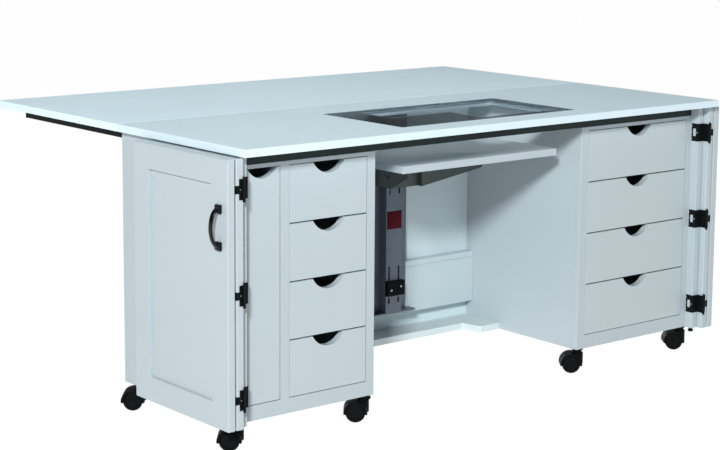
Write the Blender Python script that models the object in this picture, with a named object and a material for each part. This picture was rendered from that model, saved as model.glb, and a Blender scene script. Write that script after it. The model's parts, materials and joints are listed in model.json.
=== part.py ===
"""Sewing table with two drawer pedestals, a machine lift, fold-back doors and a rear drop leaf.

Metres, +Z up. The origin is on the floor under the centre of the open top: X runs along the
table's length to the right, -Y is the front, where the operator sits.
"""

import math

import bmesh
import bpy
from mathutils import Matrix, Vector

# ---- driving dimensions -------------------------------------------------------------------

GAP = 0.0003            # between pieces that touch
TOP_W = 1.635           # length of the top
TOP_D = 0.5525          # depth of the main top
LEAF_D = 0.613          # depth of the rear leaf
SEAM = 0.001            # between the main top and the leaf
TOP_H = 0.730           # height of the working surface
TOP_T = 0.019           # thickness of the top boards
SIDE_OVERHANG = 0.015   # top beyond the cabinet's sides
FRONT_OVERHANG = 0.0415  # top beyond the side panels' front edges
REAR_SETBACK = 0.001    # side panels short of the main top's rear edge
CABINET_Z = 0.067       # underside of the pedestals
BOARD = 0.019           # cabinet board
EASE = 0.0012           # eased edge of a board
DOOR_EASE = 0.0020      # eased edge of a door

LEFT_PEDESTAL_W = 0.424
RIGHT_PEDESTAL_W = 0.462
FRAME_SETBACK = 0.027   # face frames behind the side panels' front edges
APRON_H = 0.0287        # dark strip under the top
FRAME_BOTTOM_RAIL = 0.0375
FRAME_TOP_RAIL = 0.010
LEFT_OUTER_STILE = 0.011
LEFT_MIDDLE_STILE = 0.027
LEFT_KNEE_STILE = 0.025
RIGHT_OUTER_STILE = 0.019
RIGHT_KNEE_STILE = 0.030
PULLOUT_OPENING_W = 0.105
BACK_SETBACK = 0.012    # back panel in front of the side panels' rear edges
DIVIDER_T = 0.012

DRAWERS = 4
REVEAL = 0.0015         # gap around an inset front
DRAWER_L = 0.420
DRAWER_SLIDE_SPACE = 0.013
DRAWER_WALL = 0.012
DRAWER_FLOOR = 0.006
DRAWER_BODY_DROP = 0.030  # body's rim below the front's top edge
DRAWER_BODY_LIFT = 0.010  # body's underside above the front's lower edge
SCOOP_W = 0.096
SCOOP_D = 0.0285
PULLOUT_SCOOP_W = 0.084
PULLOUT_SCOOP_D = 0.024
PULLOUT_BODY_W = 0.084
PULLOUT_L = 0.410
PULLOUT_SHELVES = 3

DOOR_T = 0.020
DOOR_TOP_GAP = 0.004
DOOR_CABINET_GAP = 0.003   # closed door to the side panel's front edge, and open door to its face
DOOR_FOLD_GAP = 0.0044     # between the two folded doors
DOOR_END_GAP = 0.0015      # from a door's end to the fold line
DOOR_MEETING_GAP = 0.003   # between the closed pairs
DOOR_STILE = 0.066
DOOR_RAIL = 0.062
DOOR_PANEL_T = 0.008
DOOR_PANEL_RECESS = 0.006
DOOR_GROOVE = 0.008
HINGE_REACH = 0.004        # from the hinge axis to a door's end
HINGE_BARREL_R = 0.0035
HINGE_PLATE = 0.0015
HINGE_H = 0.050
HINGE_BARREL_H = 0.058
HINGE_INNER_W = 0.025
HINGE_WINDOW_AT = 0.6       # window's middle, as a share of the inner plate's width
HINGE_WINDOW_W = 0.011
HINGE_WINDOW_H = 0.022
HINGE_INSET = 0.0715        # from a door's top and bottom to the middle of a hinge

HANDLE_DROP = 0.160        # middle of the handle below the door's top
HANDLE_H = 0.107
HANDLE_INSET = 0.033       # from the door's free edge
HANDLE_REACH = 0.028
HANDLE_BAR_W = 0.0105
HANDLE_BAR_T = 0.0065
HANDLE_FOOT_W = 0.022
HANDLE_FOOT_H = 0.021
HANDLE_FOOT_T = 0.0035
HANDLE_FULLNESS = 0.7      # below 1, the bow is fuller than a half circle

OPENING_X = 0.024          # middle of the machine opening
OPENING_W = 0.611
OPENING_D = 0.324
OPENING_FRONT = 0.0825     # from the top's front edge
OPENING_R = 0.006
LEDGE_W = 0.008            # rebate that carries the insert
INSERT_T = 0.006
INSERT_CLEARANCE = 0.0008
ARM_CUT_X = (-0.207, 0.080)    # free-arm cut-out, from the opening's middle
ARM_CUT_Y = (0.160, 0.284)     # from the opening's front edge
BED_CUT_X = (-0.005, 0.245)    # column cut-out
BED_CUT_Y = (0.030, 0.284)

PLATFORM_X = 0.0045
PLATFORM_W = 0.540
PLATFORM_D = 0.300
PLATFORM_FRONT = 0.0965    # from the top's front edge
PLATFORM_T = 0.019
PLATFORM_DROP = 0.102      # platform's surface below the table's

MAST_X = 0.0155
MAST_W = 0.057
MAST_LIP = 0.037           # lips turned outwards at the rear
MAST_D = 0.0297
MAST_WALL = 0.0025
MAST_FOOT_Z = 0.145
MAST_TOP_GAP = 0.011
MAST_FOOT_TAB = 0.053
MAST_TAB_W = 0.049
MAST_TAB_H = 0.040
MAST_SLOT_W = 0.006
MAST_SLOT_OFF = 0.3         # slots beside the mast's middle, as a share of its width
MAST_SLOTS = ((0.035, 0.016), (0.112, 0.040), (0.350, 0.030))  # height above the foot, length
MAST_STOP_Z = 0.216
MAST_STOP_W = 0.062
MAST_STOP_H = 0.041
MAST_STOP_T = 0.0117

CARRIAGE_PLATE = 0.003
CARRIAGE_W = 0.100
CARRIAGE_H = 0.1035
CARRIAGE_REAR = 0.0035      # side plates' rear edges in front of the mast's rear face
CROSS_PLATE_Y = 0.040       # cross plate's rear face in front of the mast's face
GUSSET_L = 0.070            # left side plate's reach in front of the cross plate
GUSSET_TIP = 0.067
WING_STEP = 0.016           # wing in front of the cross plate
WING_L = 0.225
WING_RISE = 0.031           # wing's lower edge rises towards its tip
WING_TIP_R = 0.012

LEDGE_Z = (0.129, 0.276)    # low box along the knee space's rear wall
LEDGE_D = 0.029
LEDGE_TOP_T = 0.016
SHELF_T = 0.018
SHELF_D = 0.084             # foot shelf's depth in the middle
SHELF_WING = 0.061          # how far its ends step forward
SHELF_WING_W = 0.070
SHELF_OGEE_W = 0.020

RAIL_W = 0.018              # leaf rails
RAIL_H = 0.0227
RAIL_SIDE_GAP = 0.003       # from the side panel's inner face
RAIL_END = 0.090            # short of the leaf's rear edge
PIVOT_SETBACK = 0.002       # leaf's pivot in front of the side panels' rear edges
PIVOT_RISE = 0.0085         # above the rail's underside
PIVOT_EYE_R = 0.008
PIVOT_PIN_R = 0.003
PIVOT_CLEARANCE = 0.0004
BRACKET_PLATE = 0.002
BRACKET_BASE_W = 0.026
BRACKET_H = 0.034

WHEEL_R = 0.025
WHEEL_W = 0.0155
WHEEL_HUB_R = 0.006
CASTER_FIN = 0.006
CASTER_CLEARANCE = 0.0008
HOOD_WALL = 0.0042
HOOD_SKIRT = 0.021          # hood's lower edge above the floor
CASTER_TRAIL = 0.018
CASTER_BOSS_R = 0.016
CASTER_STEM_R = 0.012
CASTER_STEM_Z = 0.0375      # stem's lower end, inside the hood
CASTER_AXLE_BOSS_R = 0.0108
CASTER_PLATE_R = 0.0155
CASTER_PLATE_T = 0.0035
CASTER_INSET = 0.021        # from a pedestal's side
CASTER_FRONT_Y = 0.044      # behind the side panels' front edges
CASTER_REAR_Y = 0.040       # in front of the side panels' rear edges
CASTER_TURN = -39.0         # how far the wheels are swivelled at rest, in degrees about +Z

# ---- levels and planes that follow --------------------------------------------------------

FRONT_EDGE = -(TOP_D + SEAM + LEAF_D) / 2
SEAM_Y = FRONT_EDGE + TOP_D
FRONT = FRONT_EDGE + FRONT_OVERHANG       # side panels' front edges
REAR = SEAM_Y - REAR_SETBACK              # side panels' rear edges
SIDE_X = TOP_W / 2 - SIDE_OVERHANG        # side panels' outer faces
UNDER_TOP = TOP_H - TOP_T
CABINET_TOP = UNDER_TOP - GAP
APRON_Z = CABINET_TOP - APRON_H
FRAME_Y = FRONT + FRAME_SETBACK
INSIDE_Y = FRAME_Y + BOARD + GAP
BACK_Y = REAR - BACK_SETBACK - BOARD      # back panel's front face
LEFT_KNEE_X = -SIDE_X + LEFT_PEDESTAL_W
RIGHT_KNEE_X = SIDE_X - RIGHT_PEDESTAL_W
OPEN_Z0 = CABINET_Z + FRAME_BOTTOM_RAIL
OPEN_Z1 = APRON_Z - GAP - FRAME_TOP_RAIL
PULLOUT_X0 = -SIDE_X + BOARD + GAP + LEFT_OUTER_STILE
PULLOUT_X1 = PULLOUT_X0 + PULLOUT_OPENING_W
LEFT_DRAWER_X = (PULLOUT_X1 + LEFT_MIDDLE_STILE, LEFT_KNEE_X - LEFT_KNEE_STILE)
RIGHT_DRAWER_X = (RIGHT_KNEE_X + RIGHT_KNEE_STILE, SIDE_X - BOARD - GAP - RIGHT_OUTER_STILE)
DOOR_Z = (CABINET_Z, CABINET_TOP - DOOR_TOP_GAP)
HINGE_HEIGHTS = (DOOR_Z[0] + HINGE_INSET, (DOOR_Z[0] + DOOR_Z[1]) / 2, DOOR_Z[1] - HINGE_INSET)
HANDLE_Z = DOOR_Z[1] - HANDLE_DROP        # middle of the handle
DOOR_W = (2 * SIDE_X - 4 * DOOR_END_GAP - DOOR_MEETING_GAP) / 4
HINGE_Y = FRONT - (DOOR_T + 2 * DOOR_CABINET_GAP - HINGE_REACH)
PLATFORM_Z = TOP_H - PLATFORM_DROP
MAST_Y = BACK_Y - LEDGE_D - GAP - MAST_D  # mast's front face
PIVOT_Y = REAR - PIVOT_SETBACK
PIVOT_Z = CABINET_TOP - RAIL_H + PIVOT_RISE
WHEEL_INNER_Y = CASTER_FIN / 2 + CASTER_CLEARANCE
HOOD_R = WHEEL_R + CASTER_CLEARANCE + HOOD_WALL
HOOD_W = 2 * (WHEEL_INNER_Y + WHEEL_W + CASTER_CLEARANCE + HOOD_WALL)

MATERIALS = {
    "white_board": ((0.80, 0.83, 0.85, 1), 0.45, 0.0),
    "dark_board": ((0.055, 0.065, 0.065, 1), 0.6, 0.0),
    "galvanised_steel": ((0.42, 0.46, 0.50, 1), 0.4, 0.9),
    "painted_steel": ((0.13, 0.14, 0.13, 1), 0.5, 0.4),
    "black_steel": ((0.012, 0.012, 0.013, 1), 0.4, 0.6),
    "black_plastic": ((0.015, 0.015, 0.016, 1), 0.5, 0.0),
    "clear_acrylic": ((0.75, 0.80, 0.82, 1), 0.05, 0.0),
}


# ---- modelling helpers --------------------------------------------------------------------

def clear_scene():
    """Empty the scene and its leftovers."""
    for item in list(bpy.data.objects):
        bpy.data.objects.remove(item, do_unlink=True)
    for block in (bpy.data.meshes, bpy.data.materials):
        for item in list(block):
            block.remove(item)


def make_materials():
    """One Principled material for each entry of MATERIALS."""
    for name, (colour, roughness, metallic) in MATERIALS.items():
        material = bpy.data.materials.new(name)
        material.use_nodes = True
        shader = material.node_tree.nodes["Principled BSDF"]
        shader.inputs["Base Color"].default_value = colour
        shader.inputs["Roughness"].default_value = roughness
        shader.inputs["Metallic"].default_value = metallic
        material.diffuse_color = colour


def to_mesh(bm, name="solid"):
    """Turn a bmesh into a mesh with its faces pointing out."""
    bmesh.ops.recalc_face_normals(bm, faces=bm.faces[:])
    mesh = bpy.data.meshes.new(name)
    bm.to_mesh(mesh)
    bm.free()
    return mesh


def box(x, y, z, ease=0.0):
    """A box between pairs of limits, with its edges eased."""
    bm = bmesh.new()
    bmesh.ops.create_cube(bm, size=1.0)
    size = (x[1] - x[0], y[1] - y[0], z[1] - z[0])
    centre = ((x[0] + x[1]) / 2, (y[0] + y[1]) / 2, (z[0] + z[1]) / 2)
    bmesh.ops.scale(bm, vec=size, verts=bm.verts[:])
    bmesh.ops.translate(bm, vec=centre, verts=bm.verts[:])
    if ease:
        bmesh.ops.bevel(bm, geom=bm.edges[:], offset=ease, segments=2, profile=0.5, affect="EDGES")
    return to_mesh(bm)


def cylinder(axis, centre, radius, length, sides=32):
    """A cylinder whose middle is at centre, along X, Y or Z."""
    turns = {
        "X": Matrix.Rotation(math.pi / 2, 3, "Y"),
        "Y": Matrix.Rotation(math.pi / 2, 3, "X"),
        "Z": Matrix.Identity(3),
    }
    bm = bmesh.new()
    bmesh.ops.create_cone(
        bm, cap_ends=True, segments=sides, radius1=radius, radius2=radius, depth=length)
    bmesh.ops.rotate(bm, matrix=turns[axis], verts=bm.verts[:])
    bmesh.ops.translate(bm, vec=centre, verts=bm.verts[:])
    return to_mesh(bm)


def prism(axis, outline, span):
    """Extrude a closed outline along an axis; its points are the other two axes in XYZ order."""
    place = {
        "X": lambda a, b, c: (c, a, b),
        "Y": lambda a, b, c: (a, c, b),
        "Z": lambda a, b, c: (a, b, c),
    }[axis]
    bm = bmesh.new()
    face = bm.faces.new([bm.verts.new(place(a, b, span[0])) for a, b in outline])
    grown = bmesh.ops.extrude_face_region(bm, geom=[face])
    moved = [item for item in grown["geom"] if isinstance(item, bmesh.types.BMVert)]
    bmesh.ops.translate(bm, vec=Vector(place(0, 0, span[1] - span[0])), verts=moved)
    return to_mesh(bm)


def arc(centre, radius, start, end, steps):
    """Points along an arc, angles in degrees."""
    angles = [math.radians(start + (end - start) * i / steps) for i in range(steps + 1)]
    return [(centre[0] + radius * math.cos(a), centre[1] + radius * math.sin(a)) for a in angles]


def rounded_rectangle(x, y, radius, steps=5):
    """Outline of a rectangle with round corners."""
    corners = (
        (x[1] - radius, y[1] - radius, 0), (x[0] + radius, y[1] - radius, 90),
        (x[0] + radius, y[0] + radius, 180), (x[1] - radius, y[0] + radius, 270))
    points = []
    for cx, cy, start in corners:
        points += arc((cx, cy), radius, start, start + 90, steps)
    return points


def piece(name, mesh, material, add=(), cut=(), origin=(0, 0, 0), parent=None):
    """A named solid: mesh joined with each of add, then cut by each of cut."""
    body = bpy.data.objects.new(name, mesh)
    bpy.context.scene.collection.objects.link(body)
    tools = []
    for operation, meshes in (("UNION", add), ("DIFFERENCE", cut)):
        for shape in meshes:
            tool = bpy.data.objects.new("tool", shape)
            tool.hide_render = True
            tool.display_type = "WIRE"
            bpy.context.scene.collection.objects.link(tool)
            modifier = body.modifiers.new(operation.lower(), "BOOLEAN")
            modifier.operation = operation
            modifier.solver = "EXACT"
            modifier.object = tool
            tools.append(tool)
    if tools:
        depsgraph = bpy.context.evaluated_depsgraph_get()
        body.data = bpy.data.meshes.new_from_object(body.evaluated_get(depsgraph))
        body.modifiers.clear()
        for tool in tools:
            bpy.data.objects.remove(tool, do_unlink=True)
    body.data.materials.clear()
    body.data.materials.append(bpy.data.materials[material])
    body.data.transform(Matrix.Translation(-Vector(origin)))
    body.location = origin
    body.data.shade_smooth()
    body.data.set_sharp_from_angle(angle=math.radians(35))
    if parent:
        body.parent = parent
        body.matrix_parent_inverse = Matrix.Translation(-Vector(parent.location))
    return body


# ---- top ----------------------------------------------------------------------------------

def opening_limits(grow=0.0):
    """X and Y limits of the machine opening, larger by grow on every side."""
    x = (OPENING_X - OPENING_W / 2 - grow, OPENING_X + OPENING_W / 2 + grow)
    front = FRONT_EDGE + OPENING_FRONT
    return x, (front - grow, front + OPENING_D + grow)


def make_top():
    """Main top with its rebated machine opening, and the clear insert that lies in it."""
    board = box((-TOP_W / 2, TOP_W / 2), (FRONT_EDGE, SEAM_Y), (UNDER_TOP, TOP_H), EASE)
    ledge = TOP_H - INSERT_T - GAP
    through = rounded_rectangle(*opening_limits(-LEDGE_W), OPENING_R)
    rebate = rounded_rectangle(*opening_limits(), OPENING_R)
    cuts = [prism("Z", through, (UNDER_TOP - BOARD, TOP_H + BOARD)),
            prism("Z", rebate, (ledge, TOP_H + BOARD))]
    piece("main_top", board, "white_board", cut=cuts)
    outline = rounded_rectangle(*opening_limits(-INSERT_CLEARANCE), OPENING_R)
    front = FRONT_EDGE + OPENING_FRONT
    high = (ledge - BOARD, TOP_H + BOARD)
    arm = box([OPENING_X + v for v in ARM_CUT_X], [front + v for v in ARM_CUT_Y], high)
    bed = box([OPENING_X + v for v in BED_CUT_X], [front + v for v in BED_CUT_Y], high)
    piece("clear_insert", prism("Z", outline, (ledge + GAP, TOP_H)), "clear_acrylic",
          cut=[arm, bed], origin=(OPENING_X, front + OPENING_D / 2, ledge + GAP))


def make_rear_leaf():
    """Drop leaf, its two steel rails and the brackets whose pins they turn on."""
    rear_y = SEAM_Y + SEAM + LEAF_D
    leaf = piece("rear_leaf",
                 box((-TOP_W / 2, TOP_W / 2), (SEAM_Y + SEAM, rear_y), (UNDER_TOP, TOP_H), EASE),
                 "white_board", origin=(0, PIVOT_Y, PIVOT_Z))
    rail_bottom = CABINET_TOP - RAIL_H
    for side, name in ((-1, "left"), (1, "right")):
        near = side * (SIDE_X - BOARD - RAIL_SIDE_GAP)
        far = near - side * RAIL_W
        span = (min(near, far), max(near, far))
        bar = box(span, (SEAM_Y + SEAM, rear_y - RAIL_END), (rail_bottom, CABINET_TOP), EASE)
        neck = box(span, (PIVOT_Y, SEAM_Y + SEAM + EASE * 3),
                   (PIVOT_Z - PIVOT_EYE_R, PIVOT_Z + PIVOT_EYE_R))
        middle = ((near + far) / 2, PIVOT_Y, PIVOT_Z)
        eye = cylinder("X", middle, PIVOT_EYE_R, RAIL_W)
        hole = cylinder("X", middle, PIVOT_PIN_R + PIVOT_CLEARANCE, RAIL_W * 2)
        piece("leaf_rail_" + name, bar, "black_steel", add=[neck, eye], cut=[hole],
              origin=(0, PIVOT_Y, PIVOT_Z), parent=leaf)
        make_leaf_bracket(name, side, far)


def make_leaf_bracket(name, side, rail_face):
    """Plate on the back panel's rear face, with an ear and the pin that the rail turns on."""
    back_face = BACK_Y + BOARD + GAP
    near = rail_face - side * PIVOT_CLEARANCE
    far = near - side * BRACKET_PLATE
    ear_x = sorted((near, far))
    base_x = sorted((near, far - side * BRACKET_BASE_W))
    z = (PIVOT_Z - BRACKET_H / 2, PIVOT_Z + PIVOT_EYE_R)
    ear = box(ear_x, (back_face, PIVOT_Y + PIVOT_EYE_R), z)
    base = box(base_x, (back_face, back_face + BRACKET_PLATE), z)
    pin_length = RAIL_W + BRACKET_PLATE + PIVOT_CLEARANCE
    pin_middle = rail_face + side * (RAIL_W - PIVOT_CLEARANCE - BRACKET_PLATE) / 2
    pin = cylinder("X", (pin_middle, PIVOT_Y, PIVOT_Z), PIVOT_PIN_R, pin_length, 24)
    piece("leaf_bracket_" + name, ear, "black_steel", add=[base, pin])


# ---- cabinet ------------------------------------------------------------------------------

def make_carcass():
    """Sides, floors, divider, back, apron and the pieces low in the knee space."""
    tall = (CABINET_Z, CABINET_TOP)
    inner_top = (CABINET_Z, APRON_Z - GAP)
    inner_y = (INSIDE_Y, BACK_Y - GAP)
    floor_z = (CABINET_Z, CABINET_Z + BOARD)
    for side, name in ((-1, "left"), (1, "right")):
        outer = sorted((side * SIDE_X, side * (SIDE_X - BOARD)))
        piece(name + "_outer_side", box(outer, (FRONT, REAR), tall, EASE), "white_board")
        knee_x = LEFT_KNEE_X if side < 0 else RIGHT_KNEE_X
        inner = sorted((knee_x, knee_x + side * BOARD))
        piece(name + "_inner_side", box(inner, inner_y, (CABINET_Z, CABINET_TOP), EASE / 2),
              "white_board")
        floor_x = sorted((side * (SIDE_X - BOARD - GAP), knee_x + side * (BOARD + GAP)))
        piece(name + "_floor", box(floor_x, inner_y, floor_z, EASE / 2), "white_board")
    middle = (PULLOUT_X1 + LEFT_DRAWER_X[0]) / 2
    piece("left_divider",
          box((middle - DIVIDER_T / 2, middle + DIVIDER_T / 2), inner_y,
              (floor_z[1] + GAP, inner_top[1]), EASE / 2), "white_board")
    inside_x = (-SIDE_X + BOARD + GAP, SIDE_X - BOARD - GAP)
    piece("back_panel", box(inside_x, (BACK_Y, BACK_Y + BOARD), tall, EASE / 2), "white_board")
    piece("front_apron", box(inside_x, (FRAME_Y, FRAME_Y + BOARD), (APRON_Z, CABINET_TOP), EASE / 2),
          "dark_board")


def make_face_frames():
    """Frames around the drawers: one opening on the right, two on the left."""
    z = (CABINET_Z, APRON_Z - GAP)
    y = (FRAME_Y, FRAME_Y + BOARD)
    deep = (FRAME_Y - BOARD, FRAME_Y + 2 * BOARD)
    open_z = (OPEN_Z0, OPEN_Z1)
    piece("left_face_frame", box((-SIDE_X + BOARD + GAP, LEFT_KNEE_X), y, z, EASE), "white_board",
          cut=[box((PULLOUT_X0, PULLOUT_X1), deep, open_z), box(LEFT_DRAWER_X, deep, open_z)])
    piece("right_face_frame", box((RIGHT_KNEE_X, SIDE_X - BOARD - GAP), y, z, EASE), "white_board",
          cut=[box(RIGHT_DRAWER_X, deep, open_z)])


def make_knee_space():
    """Low box along the rear wall, and the shaped foot shelf between the pedestals."""
    x = (LEFT_KNEE_X + GAP, RIGHT_KNEE_X - GAP)
    front = BACK_Y - LEDGE_D
    joint = LEDGE_Z[1] - LEDGE_TOP_T
    piece("knee_ledge_front", box(x, (front, front + BOARD), (LEDGE_Z[0], joint - GAP), EASE),
          "white_board")
    piece("knee_ledge_top", box(x, (front, BACK_Y - GAP), (joint, LEDGE_Z[1]), EASE), "white_board")
    low = BACK_Y - SHELF_D
    steps = 8
    right = [(x[1], BACK_Y - GAP), (x[1], low - SHELF_WING)]
    right.append((x[1] - SHELF_WING_W, low - SHELF_WING))
    for i in range(1, steps + 1):
        share = i / steps
        rise = (1 - math.cos(math.pi * share)) / 2
        right.append((x[1] - SHELF_WING_W - SHELF_OGEE_W * share, low - SHELF_WING * (1 - rise)))
    left = [(x[0] + x[1] - a, b) for a, b in reversed(right)]
    piece("foot_shelf", prism("Z", right + left, (CABINET_Z, CABINET_Z + SHELF_T)), "white_board")


# ---- drawers ------------------------------------------------------------------------------

def scoop(x, top, width, depth):
    """Cutter for the finger scoop in a front's upper edge."""
    radius = ((width / 2) ** 2 + depth ** 2) / (2 * depth)
    length = BOARD * 2
    return cylinder("Y", (x, FRAME_Y + BOARD / 2, top + radius - depth), radius, length, 56)


def make_drawer(name, opening_x, opening_z):
    """Inset drawer: front with a scoop, and an open box behind it, in one solid."""
    x = (opening_x[0] + REVEAL, opening_x[1] - REVEAL)
    z = (opening_z[0] + REVEAL, opening_z[1] - REVEAL)
    middle = (x[0] + x[1]) / 2
    front = box(x, (FRAME_Y, FRAME_Y + BOARD), z, EASE)
    body_x = (opening_x[0] + DRAWER_SLIDE_SPACE, opening_x[1] - DRAWER_SLIDE_SPACE)
    body_z = (z[0] + DRAWER_BODY_LIFT, z[1] - DRAWER_BODY_DROP)
    body = box(body_x, (FRAME_Y + BOARD / 2, FRAME_Y + DRAWER_L), body_z)
    hollow = box((body_x[0] + DRAWER_WALL, body_x[1] - DRAWER_WALL),
                 (FRAME_Y + BOARD, FRAME_Y + DRAWER_L - DRAWER_WALL),
                 (body_z[0] + DRAWER_FLOOR, body_z[1] + DRAWER_BODY_DROP))
    piece(name, front, "white_board", add=[body], cut=[hollow, scoop(middle, z[1], SCOOP_W, SCOOP_D)],
          origin=(middle, FRAME_Y, (z[0] + z[1]) / 2))


def make_drawers():
    """Two stacks of equal drawers and the tall pull-out."""
    pitch = (OPEN_Z1 - OPEN_Z0) / DRAWERS
    for side, opening_x in (("left", LEFT_DRAWER_X), ("right", RIGHT_DRAWER_X)):
        for i in range(DRAWERS):
            top = OPEN_Z1 - i * pitch
            make_drawer(f"{side}_drawer_{i + 1}", opening_x, (top - pitch, top))
    x = (PULLOUT_X0 + REVEAL, PULLOUT_X1 - REVEAL)
    z = (OPEN_Z0 + REVEAL, OPEN_Z1 - REVEAL)
    middle = (x[0] + x[1]) / 2
    body_x = (middle - PULLOUT_BODY_W / 2, middle + PULLOUT_BODY_W / 2)
    body_z = (z[0] + DRAWER_BODY_LIFT, z[1] - DRAWER_BODY_DROP)
    body = box(body_x, (FRAME_Y + BOARD / 2, FRAME_Y + PULLOUT_L), body_z)
    cuts = [scoop(middle, z[1], PULLOUT_SCOOP_W, PULLOUT_SCOOP_D)]
    bay = (body_z[1] - body_z[0]) / PULLOUT_SHELVES
    for i in range(PULLOUT_SHELVES):
        low = body_z[0] + i * bay
        high = low + bay + (DRAWER_BODY_DROP if i == PULLOUT_SHELVES - 1 else 0)
        cuts.append(box((body_x[0] + DRAWER_WALL / 2, body_x[1] + REVEAL),
                        (FRAME_Y + BOARD, FRAME_Y + PULLOUT_L - DRAWER_WALL),
                        (low + DRAWER_FLOOR, high)))
    piece("tall_pullout", box(x, (FRAME_Y, FRAME_Y + BOARD), z, EASE), "white_board", add=[body],
          cut=cuts, origin=(middle, FRAME_Y, (z[0] + z[1]) / 2))


# ---- doors --------------------------------------------------------------------------------

def door_limits(side):
    """X limits of the inner and outer folded doors, their Y limits and the fold line."""
    inner = sorted((side * (SIDE_X + DOOR_CABINET_GAP), side * (SIDE_X + DOOR_CABINET_GAP + DOOR_T)))
    far = SIDE_X + DOOR_CABINET_GAP + DOOR_T + DOOR_FOLD_GAP
    outer = sorted((side * far, side * (far + DOOR_T)))
    y = (HINGE_Y + HINGE_REACH, HINGE_Y + HINGE_REACH + DOOR_W)
    fold = (side * (far - DOOR_FOLD_GAP / 2), y[1] + DOOR_END_GAP)
    return inner, outer, y, fold


def field(y):
    """Y and Z limits of a door's recessed field."""
    return (y[0] + DOOR_STILE, y[1] - DOOR_STILE), (DOOR_Z[0] + DOOR_RAIL, DOOR_Z[1] - DOOR_RAIL)


def make_doors():
    """Each side's pair: the inner one hinged to the cabinet, the outer one folded over it."""
    for side, name in ((-1, "left"), (1, "right")):
        inner, outer, y, fold = door_limits(side)
        field_y, field_z = field(y)
        z_middle = (DOOR_Z[0] + DOOR_Z[1]) / 2
        hinge_x = side * (SIDE_X + HINGE_REACH)
        cabinet_face = inner[0] if side > 0 else inner[1]
        recess = sorted((cabinet_face - side * DOOR_T, cabinet_face + side * DOOR_PANEL_RECESS))
        first = piece(name + "_inner_door", box(inner, y, DOOR_Z, DOOR_EASE), "white_board",
                      cut=[box(recess, field_y, field_z)], origin=(hinge_x, HINGE_Y, z_middle))
        hole = box((outer[0] - DOOR_T, outer[1] + DOOR_T), field_y, field_z)
        face = outer[1] if side > 0 else outer[0]
        panel_x = sorted((face - side * DOOR_PANEL_RECESS,
                          face - side * (DOOR_PANEL_RECESS + DOOR_PANEL_T)))
        groove = box((panel_x[0] - GAP, panel_x[1] + GAP),
                     (field_y[0] - DOOR_GROOVE, field_y[1] + DOOR_GROOVE),
                     (field_z[0] - DOOR_GROOVE, field_z[1] + DOOR_GROOVE))
        frame = piece(name + "_outer_door", box(outer, y, DOOR_Z, DOOR_EASE), "white_board",
                      cut=[hole, groove], origin=(fold[0], fold[1], z_middle), parent=first)
        panel = box(panel_x, (field_y[0] - DOOR_GROOVE + GAP, field_y[1] + DOOR_GROOVE - GAP),
                    (field_z[0] - DOOR_GROOVE + GAP, field_z[1] + DOOR_GROOVE - GAP))
        piece(name + "_door_panel", panel, "white_board", origin=(fold[0], fold[1], z_middle),
              parent=frame)
        make_handle(name, side, face + side * GAP, y[0] + HANDLE_INSET, frame)


def make_handle(name, side, face, y, parent):
    """Bow handle: two feet on the door's face and a bar arched between them."""
    half = HANDLE_H / 2
    centre_z = half - HANDLE_FOOT_H / 2
    steps = 14
    bow = []
    for i in range(steps + 1):
        angle = math.pi * i / steps
        bow.append((math.sin(angle) ** HANDLE_FULLNESS, -math.cos(angle)))
    high = centre_z + HANDLE_BAR_T / 2
    outline = [(face + side * HANDLE_REACH * a, HANDLE_Z + high * b) for a, b in bow]
    outline += [(face + side * (HANDLE_REACH - HANDLE_BAR_T) * a,
                 HANDLE_Z + (high - HANDLE_BAR_T) * b) for a, b in reversed(bow)]
    bar = prism("Y", outline, (y - HANDLE_BAR_W / 2, y + HANDLE_BAR_W / 2))
    foot_x = sorted((face, face + side * HANDLE_FOOT_T))
    feet = []
    for end in (-1, 1):
        z = sorted((HANDLE_Z + end * half, HANDLE_Z + end * (half - HANDLE_FOOT_H)))
        feet.append(box(foot_x, (y - HANDLE_FOOT_W / 2, y + HANDLE_FOOT_W / 2), z, EASE))
    piece(name + "_handle", bar, "black_steel", add=feet, origin=parent.location, parent=parent)


def make_hinges():
    """Cabinet halves of the door hinges, wrapped round the side panels' front edges."""
    for side, name in ((-1, "left"), (1, "right")):
        axis_x = side * (SIDE_X + HINGE_REACH)
        edge = side * (SIDE_X + HINGE_PLATE / 2)
        strap_x = sorted((edge, edge + side * HINGE_PLATE))
        inner_face = side * (SIDE_X - BOARD - GAP)
        inner_x = sorted((inner_face, inner_face - side * HINGE_PLATE))
        wrap_x = sorted((edge + side * HINGE_PLATE, inner_face - side * HINGE_PLATE))
        wrap_y = (FRONT - GAP - HINGE_PLATE, FRONT - GAP)
        for level, height in zip(("lower", "middle", "upper"), HINGE_HEIGHTS):
            z = (height - HINGE_H / 2, height + HINGE_H / 2)
            barrel = cylinder("Z", (axis_x, HINGE_Y, height), HINGE_BARREL_R, HINGE_BARREL_H, 24)
            strap = box(strap_x, (HINGE_Y, wrap_y[1]), z)
            wrap = box(wrap_x, wrap_y, z)
            inner = box(inner_x, (wrap_y[0], wrap_y[0] + HINGE_INNER_W), z)
            middle = wrap_y[0] + HINGE_INNER_W * HINGE_WINDOW_AT
            window = box((inner_x[0] - BOARD / 2, inner_x[1] + BOARD / 2),
                         (middle - HINGE_WINDOW_W / 2, middle + HINGE_WINDOW_W / 2),
                         (height - HINGE_WINDOW_H / 2, height + HINGE_WINDOW_H / 2))
            piece(f"{name}_{level}_hinge", barrel, "black_steel", add=[strap, wrap, inner],
                  cut=[window])


# ---- machine lift -------------------------------------------------------------------------

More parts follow.
